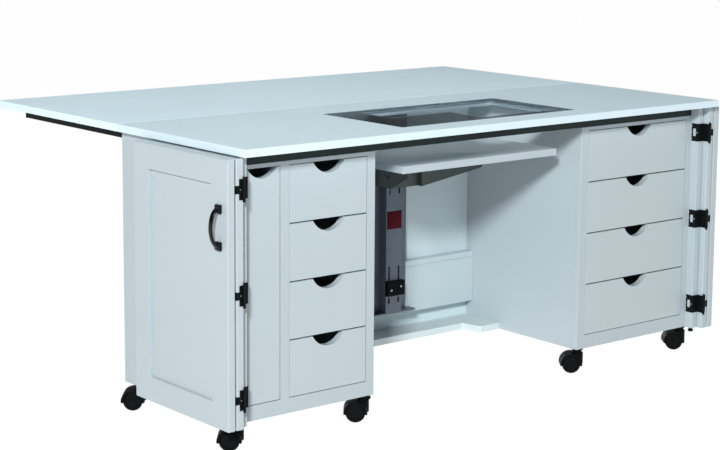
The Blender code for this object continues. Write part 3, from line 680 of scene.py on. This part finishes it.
@dataclass
class SwingHinges:
    """Door halves of the hinges that hang the doors, and the screws of both halves."""

    side: str
    leaf_h: float = 0.0495
    proud: float = 0.00035
    sunk: float = 0.0011
    edge: float = 0.0008
    tab_h: float = 0.019
    tab_t: float = 0.0008
    tab_reach: float = 0.0125
    leaf_w: float = 0.0125
    leaf_ease: float = 0.0002
    centre_at: float = 0.6
    small_off: float = 0.36
    screw_r: float = 0.0026
    centre_r: float = 0.0019
    small_r: float = 0.0015
    column: float = 0.0022
    front_screw: float = 0.0200

    def build(self) -> None:
        """Model the three door halves, their screws and the cabinet halves' screws."""
        way = SIDES[self.side]
        x, y, _ = bounds_of(self.side + "_inner_door")
        near, far = x[::way]
        end = y[0]
        leaves = []
        screws = []
        fixings = []
        for level in LEVELS:
            hx, hy, hz = bounds_of(f"{self.side}_{level}_hinge")
            height = sum(hz) / 2
            leaf = block((near + way * self.edge / 2, near + way * self.leaf_w),
                         (end - self.proud, end + self.sunk), about(height, self.leaf_h),
                         self.leaf_ease, 2)
            tab_z = about(height, self.tab_h)
            bend = block((near + way * (self.leaf_w - self.edge), far + way * self.tab_t),
                         (end - self.proud, end + self.sunk), tab_z)
            tab = block((far - way * self.sunk, far + way * self.tab_t),
                        (end - self.proud, end + self.tab_reach), tab_z)
            leaves.append(combine(combine(leaf, bend, Join.ADD), tab, Join.ADD))
            screws.append(ScrewPattern.at(
                (near + way * self.leaf_w * self.centre_at, end - self.proud, height),
                (0, -1, 0), self.centre_r))
            inner = hx[::way][0]
            for lift in (-self.small_off, 0.0, self.small_off):
                fixings.append(ScrewPattern.at(
                    (inner, hy[1] - self.column, height + lift * self.leaf_h), (-way, 0, 0),
                    self.small_r))
            fixings.append(ScrewPattern.at((inner, hy[1] - self.front_screw, height), (-way, 0, 0),
                                           self.screw_r))
        body = self.side + "_inner_door"
        deliver(self.side + "_door_hinge_leaves", gather(leaves), BLACK_POWDER, body)
        deliver(self.side + "_door_hinge_screws", gather(screws), SCREW_ZINC, body)
        deliver(self.side + "_cabinet_hinge_screws", gather(fixings), SCREW_ZINC, "cabinet")


@dataclass
class FoldHinges:
    """Butt hinges at the rear ends of a folded pair of doors."""

    side: str
    leaf_t: float = 0.0007
    leaf_l: float = 0.024
    leaf_h: float = 0.050
    barrel_r: float = 0.0019
    knuckles: int = 5
    play: float = 0.0002
    sunk: float = 0.0004
    notch: float = 0.004
    overlap: float = 0.2
    end_off: float = 0.32
    end_depth: float = 0.62
    middle_depth: float = 0.36
    screw_r: float = 0.0026

    def build(self) -> None:
        """Model three butt hinges, each half with its screws on its own door."""
        way = SIDES[self.side]
        axis, _ = joint_at(self.side + "_door_fold")
        for which, toward in (("inner", -way), ("outer", way)):
            door = f"{self.side}_{which}_door"
            x, y, _ = bounds_of(door)
            face = min(x, key=lambda v: abs(v - axis.x))
            halves = []
            screws = []
            for level in LEVELS:
                height = sum(bounds_of(f"{self.side}_{level}_hinge")[2]) / 2
                z = about(height, self.leaf_h)
                leaf = block((face + toward * self.sunk, face - toward * self.leaf_t),
                             (y[1] - self.leaf_l, axis.y - self.barrel_r * self.overlap), z)
                pitch = self.leaf_h / self.knuckles
                for k in range(self.knuckles):
                    low = z[0] + k * pitch
                    if k % 2 == (which == "outer"):
                        knuckle = rod((axis.x, axis.y, low + self.play),
                                      (axis.x, axis.y, low + pitch - self.play), self.barrel_r, 20)
                        leaf = combine(leaf, knuckle, Join.ADD)
                    else:
                        notch = block((axis.x - self.notch, axis.x + self.notch),
                                      (y[1] + self.play, axis.y + self.notch),
                                      (low - self.play, low + pitch + self.play))
                        leaf = combine(leaf, notch, Join.TAKE)
                halves.append(leaf)
                for drop in (-self.end_off, 0.0, self.end_off):
                    depth = y[1] - self.leaf_l * (self.end_depth if drop else self.middle_depth)
                    screws.append(ScrewPattern.at(
                        (face - toward * self.leaf_t, depth, height + drop * self.leaf_h),
                        (-toward, 0, 0), self.screw_r))
            deliver(f"{door}_fold_leaves", gather(halves), BLACK_POWDER, door)
            deliver(f"{door}_fold_screws", gather(screws), SCREW_ZINC, door)


@dataclass
class DoorCatches:
    """Magnetic catches under the apron, and the plates that they hold on the doors."""

    width: float = 0.030
    height: float = 0.010
    front: float = -0.5436
    from_middle: float = 0.040
    under_top: float = 0.0008
    case_ease: float = 0.0015
    ease: float = 0.0003
    pole_off: float = 0.006
    pole_w: float = 0.0024
    pole_proud: float = 0.001
    pole_l: float = 0.006
    pole_rim: float = 0.002
    plate_t: float = 0.0009
    plate_sunk: float = 0.0003
    plate_w: float = 0.022
    plate_z: Span = (0.013, 0.001)
    plate_shift: float = 0.0015

    def build(self) -> None:
        """Model both catches, their magnets and both plates."""
        _, ay, az = bounds_of("front_apron")
        z = (az[1] - self.under_top - self.height, az[1] - self.under_top)
        cases = []
        poles = []
        for side, way in SIDES.items():
            middle = way * self.from_middle
            cases.append(block(about(middle, self.width),
                               (self.front + self.pole_proud, ay[0] - self.ease), z,
                               self.case_ease))
            for pole in (middle - self.pole_off, middle + self.pole_off):
                poles.append(block(about(pole, self.pole_w), (self.front, self.front + self.pole_l),
                                   (z[0] + self.pole_rim, z[1] - self.pole_rim), self.ease, 2))
            dx, dy, dz = bounds_of(side + "_outer_door")
            inside = dx[::way][0]
            centre = dy[0] + self.from_middle - self.plate_shift
            plate = block((inside + way * self.plate_sunk, inside - way * self.plate_t),
                          about(centre, self.plate_w),
                          (dz[1] - self.plate_z[0], dz[1] - self.plate_z[1]), self.ease, 2)
            deliver(side + "_door_strike", plate, SCREW_ZINC, side + "_outer_door")
        deliver("door_catches", gather(cases), MOULDED, "cabinet")
        deliver("door_catch_magnets", gather(poles), BOLT_STEEL, "cabinet")


# ---- drawers ----


@dataclass
class Runners:
    """Ball-bearing runners of a stack: channels on the cabinet, bars on the drawers."""

    stack: str
    drawers: tuple[str, ...]
    walls: tuple[str, str]
    front_wall: float = 0.019
    channel_h: float = 0.035
    channel_t: float = 0.0100
    plate: float = 0.0012
    bar_h: float = 0.020
    bar_t: float = 0.0050
    length: float = 0.385
    gap: float = 0.0006
    packer_h: float = 0.040
    from_front: float = 0.003
    overlap: float = 0.5
    groove_at: float = 0.45
    groove_h: float = 0.56
    channel_ease: float = 0.0012
    bar_ease: float = 0.0010
    packer_ease: float = 0.0008
    mouth: float = 0.003
    least_packer: float = 0.002

    def channel(self, side_face: float, way: int, y: Span, height: float) -> bpy.types.Object:
        """Model a C-shaped channel, open towards the drawer.

        Args:
            side_face: X of the drawer's side.
            way: 1 where the cabinet's wall is to the right of the drawer.
            y: the channel's limits along Y.
            height: Z of its middle.

        Returns:
            The channel.
        """
        near = side_face + way * self.bar_t * self.overlap
        far = near + way * self.channel_t
        shell = block((near, far), y, about(height, self.channel_h), self.channel_ease, 2)
        room = block((near - way * self.mouth, far - way * self.plate),
                     (y[0] + self.plate, y[1] + PAST_CUT),
                     about(height, self.channel_h - 2 * self.plate))
        return combine(shell, room, Join.TAKE)

    def bar(self, side_face: float, way: int, y: Span, height: float) -> bpy.types.Object:
        """Model the drawer's bar with its rolled edges.

        Args:
            side_face: X of the drawer's side.
            way: 1 where the cabinet's wall is to the right of the drawer.
            y: the bar's limits along Y.
            height: Z of its middle.

        Returns:
            The bar.
        """
        solid = block((side_face + way * self.gap / 2, side_face + way * self.bar_t), y,
                      about(height, self.bar_h), self.bar_ease, 2)
        groove = block((side_face + way * self.bar_t * self.groove_at,
                        side_face + way * self.bar_t * 2),
                       (y[0] + PAST_CUT, y[1] + PAST_CUT),
                       about(height, self.bar_h * self.groove_h))
        return combine(solid, groove, Join.TAKE)

    def build(self) -> None:
        """Model the stack's channels, their packers and each drawer's pair of bars."""
        channels = []
        packers = []
        wall_faces = (bounds_of(self.walls[0])[0][1], bounds_of(self.walls[1])[0][0])
        for drawer in self.drawers:
            sides, y, z = self.drawer_body(drawer)
            height = sum(z) / 2
            run = (y[0] + self.from_front, y[0] + self.from_front + self.length)
            bars = []
            for side_face, way, wall in zip(sides, (-1, 1), wall_faces):
                channels.append(self.channel(side_face, way, run, height))
                bars.append(self.bar(side_face, way, run, height))
                back = side_face + way * (self.bar_t * self.overlap + self.channel_t + self.gap / 2)
                if abs(wall - back) > self.least_packer:
                    packers.append(block((back, wall - way * self.gap / 2),
                                         (run[0] + self.least_packer, run[1]),
                                         about(height, self.packer_h), self.packer_ease, 2))
            deliver(drawer + "_runner_bars", gather(bars), RUNNER_ZINC, drawer)
        deliver(self.stack + "_runner_channels", gather(channels), RUNNER_ZINC, "cabinet")
        deliver(self.stack + "_runner_packers", gather(packers), PANEL, "cabinet")

    def drawer_body(self, drawer: str) -> tuple[Span, Span, Span]:
        """Measure the box behind a drawer's front.

        Args:
            drawer: the drawer's node.

        Returns:
            X of its two sides, its limits along Y behind the front, and its limits along Z.
        """
        low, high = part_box(drawer)
        behind = [v.co for v in frame["nodes"][drawer].data.vertices
                  if v.co.y > low.y + self.front_wall + PAST_CUT]
        return ((min(v.x for v in behind), max(v.x for v in behind)),
                (low.y + self.front_wall, high.y),
                (min(v.z for v in behind), max(v.z for v in behind)))


# ---- machine lift ----


@dataclass
class LiftHardware:
    """Rollers, bolts, screws and the plain label of the machine lift."""

    roller_r: float = 0.0078
    roller_w: float = 0.012
    roller_ease: float = 0.0012
    roller_inset: float = 0.018
    play: float = 0.0004
    plate_t: float = 0.0034
    bolt_r: float = 0.0056
    axle_bolt: float = 0.8
    screw_r: float = 0.0030
    lip_from_front: float = 0.0272
    cross_from_mast: float = 0.043
    wing_step: float = 0.016
    wing_bolts: tuple[Span, ...] = ((0.022, 0.40), (0.046, 0.52))
    plate_bolts: tuple[Span, ...] = ((0.016, 0.26), (0.008, 0.45))
    stop_screw: Span = (0.28, 0.004)
    foot_screw: tuple[float, float, float] = (0.012, 0.0165, 0.0037)
    label_w: float = 0.052
    label_h: float = 0.050
    label_rise: float = 0.240
    label_y: Span = (0.0006, 0.0004)
    label_ease: float = 0.0002

    def build(self) -> None:
        """Model the lift's fittings."""
        cx, _, cz = bounds_of("lift_carriage")
        mx, my, mz = bounds_of("lift_mast")
        sx, sy, sz = bounds_of("mast_stop")
        mast_x = sum(sx) / 2
        half = mast_x - cx[0]
        lip = my[0] + self.lip_from_front
        rollers = []
        axles = []
        for way in (-1, 1):
            plate = mast_x + way * half
            inside = plate - way * self.plate_t
            for height in (cz[0] + self.roller_inset, cz[1] - self.roller_inset):
                y = lip - self.roller_r - self.play
                roller = rod((inside, y, height), (inside - way * self.roller_w, y, height),
                             self.roller_r, 36)
                soften(roller, self.roller_ease)
                rollers.append(roller)
                axles.append(hex_bolt((plate, y, height), (way, 0, 0),
                                      self.bolt_r * self.axle_bolt))
        bolts = []
        step = my[0] - self.cross_from_mast - self.wing_step
        for along, height in self.wing_bolts:
            bolts.append(hex_bolt((mast_x + half + along, step, cz[0] + height * (cz[1] - cz[0])),
                                  (0, -1, 0), self.bolt_r))
        for back, height in self.plate_bolts:
            bolts.append(hex_bolt((cx[0], my[0] - self.cross_from_mast + back,
                                   cz[0] + height * (cz[1] - cz[0])), (-1, 0, 0), self.bolt_r))
        off, lift = self.stop_screw
        stop = [ScrewPattern.at((mast_x + off * (sx[1] - sx[0]) * way, sy[0],
                                 sum(sz) / 2 + lift * way), (0, -1, 0), self.screw_r)
                for way in (-1, 1)]
        inset, depth, rise = self.foot_screw
        foot = [ScrewPattern.at((x, my[0] + depth, mz[0] + rise), (0, 0, 1), self.screw_r)
                for x in (mx[1] - inset, mast_x)]
        low = mz[0] + self.label_rise
        label = block(about(mast_x, self.label_w),
                      (my[0] - self.label_y[0], my[0] + self.label_y[1]),
                      (low, low + self.label_h), self.label_ease, 2)
        deliver("lift_rollers", gather(rollers), MOULDED, "lift")
        deliver("lift_roller_bolts", gather(axles), BOLT_STEEL, "lift")
        deliver("lift_carriage_bolts", gather(bolts), BOLT_STEEL, "lift")
        deliver("mast_stop_screws", gather(stop), SCREW_ZINC, "cabinet")
        deliver("mast_foot_screws", gather(foot), SCREW_ZINC, "cabinet")
        deliver("mast_label", label, LABEL_RED, "cabinet")


# ---- casters, glides and leaf ----


@dataclass
class Caster:
    """Twin-wheel caster: a swivelling hood and a pair of wheels."""

    name: str
    wheel_r: float = 0.025
    wheel_w: float = 0.0155
    fin: float = 0.006
    clearance: float = 0.0008
    wall: float = 0.0042
    lip: float = 0.0025
    cap_r: float = 0.0218
    skirt: float = 0.021
    boss_r: float = 0.016
    stem_r: float = 0.012
    plate_r: float = 0.0155
    plate_t: float = 0.0035
    hub_r: float = 0.0054
    hub_reach: float = 0.004
    stem_from: float = 1.5
    hood_ease: float = 0.0011
    tread_ease: float = 0.0022
    cap_ease: float = 0.0018
    cap_play: float = 0.0004
    through: float = 0.001
    dish: tuple[Span, ...] = ((0.0028, 0), (0.0008, -0.0020), (0.0105, 0), (0.0010, 0.0016))
    sides: int = 64

    def build(self) -> None:
        """Model the caster about its own stem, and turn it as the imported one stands."""
        stem, _ = joint_at(self.name + "_swivel")
        axle, _ = joint_at(self.name + "_roll")
        trail = Vector((axle.x - stem.x, axle.y - stem.y))
        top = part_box(self.name + "_caster")[1].z
        turn = math.atan2(-trail.y, -trail.x)
        hood = self.hood(trail.length, top)
        wheels = self.wheels(trail.length)
        for solid, part, body, finish in ((hood, "_hood", "_caster", MOULDED),
                                          (wheels, "_wheel_pair", "_wheels", TREAD)):
            choose(solid)
            solid.rotation_euler = (0, 0, turn)
            solid.location = (stem.x, stem.y, 0)
            settle()
            deliver(self.name + part, solid, finish, self.name + body, [self.name + body], 32)

    def hood(self, trail: float, top: float) -> bpy.types.Object:
        """Model the hood, its boss, stem and plate.

        Args:
            trail: distance from the stem to the axle.
            top: Z of the plate's upper face.

        Returns:
            The hood, trailing towards -X.
        """
        inner = self.fin / 2
        depth = self.wheel_w + 2 * self.clearance
        half = inner + self.clearance + self.wheel_w + self.clearance + self.wall
        hood_r = self.wheel_r + self.clearance + self.wall
        z = self.wheel_r
        hood = rod((-trail, -half, z), (-trail, half, z), hood_r, self.sides)
        hood = combine(hood, rod((0, 0, z), (0, 0, z + hood_r), self.boss_r, 40), Join.ADD)
        hood = combine(hood, rod((0, 0, z * self.stem_from), (0, 0, top), self.stem_r, 32),
                       Join.ADD)
        hood = combine(hood, rod((0, 0, top - self.plate_t), (0, 0, top), self.plate_r, 40),
                       Join.ADD)
        hood = combine(hood, block((-1, 1), (-1, 1), (-1, self.skirt)), Join.TAKE)
        reach = self.wheel_r + self.clearance
        for way in (-1, 1):
            side = (way * inner, way * (inner + depth))
            hood = combine(hood, rod((-trail, side[0], z), (-trail, side[1], z), reach, self.sides),
                           Join.TAKE)
            hood = combine(hood, block((-trail - reach, -trail + reach), side, (0, z)), Join.TAKE)
            window = rod((-trail, side[1] - way * self.through, z),
                         (-trail, way * (half + self.through), z), reach - self.lip, self.sides)
            hood = combine(hood, window, Join.TAKE)
        soften(hood, self.hood_ease, 2, 50)
        return hood

    def wheels(self, trail: float) -> bpy.types.Object:
        """Model both wheels on their hub, with dished sides and a hub cap.

        Args:
            trail: distance from the stem to the axle.

        Returns:
            The wheels, trailing towards -X.
        """
        z = self.wheel_r
        inner = self.fin / 2 + self.clearance
        reach = inner + self.hub_reach
        pair = [rod((-trail, -reach, z), (-trail, reach, z), self.hub_r, 28)]
        for way in (-1, 1):
            wheel = rod((-trail, way * inner, z), (-trail, way * (inner + self.wheel_w), z),
                        self.wheel_r, self.sides)
            round_edges(wheel, self.tread_ease)
            outer = way * (inner + self.wheel_w + self.clearance + self.wall - self.cap_play)
            cap = rod((-trail, way * (inner + self.wheel_w - self.through), z),
                      (-trail, outer, z), self.cap_r, self.sides)
            round_edges(cap, self.cap_ease, 3, lambda place, along: abs(place.y - outer) < 1e-5)
            wheel = combine(wheel, cap, Join.ADD)
            pick(wheel, Part.FACES, lambda place, normal: (
                abs(normal.y) > 0.99 and abs(place.y - outer) < 1e-5 and place.z > 0))
            for width, rise in self.dish:
                bpy.ops.mesh.inset(thickness=width, depth=rise)
            bpy.ops.object.mode_set(mode="OBJECT")
            pair.append(wheel)
        return gather(pair)


@dataclass
class Glides:
    """Short black stubs under the pedestals' corners."""

    radius: float = 0.0055
    foot_r: float = 0.0080
    height: float = 0.012
    inset: float = 0.014
    foot_from: float = 0.6
    foot_tip: float = 0.85
    play: float = 0.0002

    def build(self) -> None:
        """Model four stubs in one piece."""
        lx, ly, lz = bounds_of("left_face_frame")
        rx, ry, _ = bounds_of("right_outer_side")
        places = [(lx[1] - self.inset / 2, ly[0] + self.inset),
                  (rx[1] - self.inset / 2, ry[0] + self.inset),
                  (-rx[1] + self.inset / 2, ry[0] + self.inset),
                  (bounds_of("right_face_frame")[0][0] + self.inset / 2, ly[0] + self.inset)]
        stubs = []
        for x, y in places:
            shank = rod((x, y, lz[0] - self.play), (x, y, lz[0] - self.height), self.radius, 24)
            foot = rod((x, y, lz[0] - self.height * self.foot_from), (x, y, lz[0] - self.height),
                       self.foot_r, 28, self.foot_r * self.foot_tip)
            stubs.append(combine(shank, foot, Join.ADD))
        deliver("pedestal_glides", gather(stubs), MOULDED, "cabinet")


@dataclass
class LeafHardware:
    """End caps and screws of the leaf's rails, and the screws of their brackets."""

    cap_l: float = 0.006
    cap_sunk: float = 0.001
    cap_ease: float = 0.0014
    lip: float = 0.0006
    top_lip: float = 0.0001
    screw_r: float = 0.0032
    screws: int = 4
    first_screw: float = 0.08
    last_screw: float = 0.04
    bracket_face: float = 0.010
    bracket_depth: float = 0.002
    bracket_screws: Span = (0.007, 0.008)

    def build(self) -> None:
        """Model the caps, the rails' screws and the brackets' screws."""
        caps = []
        heads = []
        fixings = []
        for side, way in SIDES.items():
            x, y, z = bounds_of("leaf_rail_" + side)
            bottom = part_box("rear_leaf")[0].z - (z[1] - z[0])
            caps.append(block((x[0] - self.lip, x[1] + self.lip),
                              (y[1] - self.cap_sunk, y[1] + self.cap_l),
                              (z[0] - self.lip, z[1] + self.top_lip), self.cap_ease))
            start = y[0] + self.first_screw
            for i in range(self.screws):
                depth = start + (y[1] - self.last_screw - start) * i / (self.screws - 1)
                heads.append(ScrewPattern.at((sum(x) / 2, depth, max(z[0], bottom)),
                                             (0, 0, -1), self.screw_r))
            bx, by, bz = bounds_of("leaf_bracket_" + side)
            plate = bx[::way][0] + way * self.bracket_face
            for height in (bz[0] + self.bracket_screws[0], bz[1] - self.bracket_screws[1]):
                fixings.append(ScrewPattern.at((plate, by[0] + self.bracket_depth, height),
                                               (0, 1, 0), self.screw_r))
        deliver("leaf_rail_caps", gather(caps), MOULDED, "leaf")
        deliver("leaf_rail_screws", gather(heads), SCREW_ZINC, "leaf")
        deliver("leaf_bracket_screws", gather(fixings), SCREW_ZINC, "cabinet")


# ---- studio ----


@dataclass(frozen=True)
class SoftBox:
    """A square lamp: where it hangs, how wide it is and its power in watts."""

    name: str
    place: tuple[float, float, float]
    size: float
    power: float


@dataclass
class Studio:
    """Camera, pale floor that glows white, and soft lights."""

    place: tuple[float, float, float] = (-3.2001, -3.9329, 1.3338)
    heading: float = 39.0512
    pitch: float = -8.6614
    roll: float = 0.4014
    lens: float = 91.66
    sensor: float = 36.0
    rise: float = -0.0903
    floor_size: float = 90.0
    world: float = 0.06
    sky: Colour = (0.90, 0.98, 1.0)
    floor_tone: float = 0.08
    floor_roughness: float = 0.8
    floor_glow: float = 0.98
    lamp_colour: Colour = (0.965, 0.995, 1.0)
    lamps_aim: tuple[float, float, float] = (0, -0.2, 0.4)
    lamps: tuple[SoftBox, ...] = (SoftBox("key_softbox", (-5.4, -5.2, 3.95), 0.9, 720.0),
                                  SoftBox("overhead_softbox", (-0.2, 0.25, 4.6), 3.0, 68.0),
                                  SoftBox("rear_softbox", (2.8, 4.2, 0.5), 0.7, 36.0))

    def build(self) -> None:
        """Set up the camera, the floor, the lights and how the picture is shown."""
        self.camera()
        self.floor()
        self.lights()
        bpy.context.scene.view_settings.view_transform = "Standard"

    def camera(self) -> None:
        """Aim the camera."""
        heading, pitch, roll = (math.radians(a) for a in (self.heading, self.pitch, self.roll))
        ahead = Vector((math.sin(heading) * math.cos(pitch), math.cos(heading) * math.cos(pitch),
                        math.sin(pitch)))
        level = Vector((ahead.y, -ahead.x, 0)).normalized()
        upright = level.cross(ahead)
        right = level * math.cos(roll) + upright * math.sin(roll)
        up = upright * math.cos(roll) - level * math.sin(roll)
        data = bpy.data.cameras.new("camera")
        data.lens = self.lens
        data.sensor_width = self.sensor
        data.shift_y = self.rise
        camera = bpy.data.objects.new("camera", data)
        bpy.context.scene.collection.objects.link(camera)
        camera.matrix_world = Matrix.Translation(self.place) @ Matrix(
            (right, up, -ahead)).transposed().to_4x4()
        bpy.context.scene.camera = camera

    def floor(self) -> None:
        """Lay a pale floor."""
        clear_selection()
        bpy.ops.mesh.primitive_plane_add(size=self.floor_size, location=(0, 0, 0))
        floor = bpy.context.object
        floor.name = "studio_floor"
        material = bpy.data.materials.new("studio_floor")
        material.use_nodes = True
        shader = material.node_tree.nodes["Principled BSDF"]
        tune(shader, {"Base Color": (*[self.floor_tone] * 3, 1),
                      "Roughness": self.floor_roughness, "Specular IOR Level": 0.0,
                      "Emission Color": (1, 1, 1, 1), "Emission Strength": self.floor_glow})
        floor.data.materials.append(material)

    def lights(self) -> None:
        """Light the table with a faint surround and the soft boxes."""
        world = bpy.data.worlds.new("studio")
        world.use_nodes = True
        tune(world.node_tree.nodes["Background"],
             {"Color": (*self.sky, 1), "Strength": self.world})
        bpy.context.scene.world = world
        for box in self.lamps:
            lamp = bpy.data.lights.new(box.name, "AREA")
            lamp.shape = "SQUARE"
            lamp.size = box.size
            lamp.energy = box.power
            lamp.color = self.lamp_colour
            light = bpy.data.objects.new(box.name, lamp)
            bpy.context.scene.collection.objects.link(light)
            light.location = box.place
            aim = Vector(self.lamps_aim) - Vector(box.place)
            light.rotation_euler = aim.to_track_quat("-Z", "Y").to_euler()


def main() -> None:
    """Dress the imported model, add its fittings and set up the studio."""
    logging.basicConfig(level=logging.INFO, format="%(name)s: %(message)s")
    clear_selection()
    Studio().build()
    Boards().build()
    for side in SIDES:
        DoorHandle(side).build()
        SwingHinges(side).build()
        FoldHinges(side).build()
    DoorCatches().build()
    for stack, walls in STACKS.items():
        drawers = tuple(f"{stack}_drawer_{i + 1}" for i in range(DRAWERS_IN_STACK))
        Runners(stack, drawers, walls).build()
    LiftHardware().build()
    for name in CASTERS:
        Caster(name).build()
    Glides().build()
    LeafHardware().build()
    ScrewPattern.put_away()


if __name__ == "__main__":
    main()
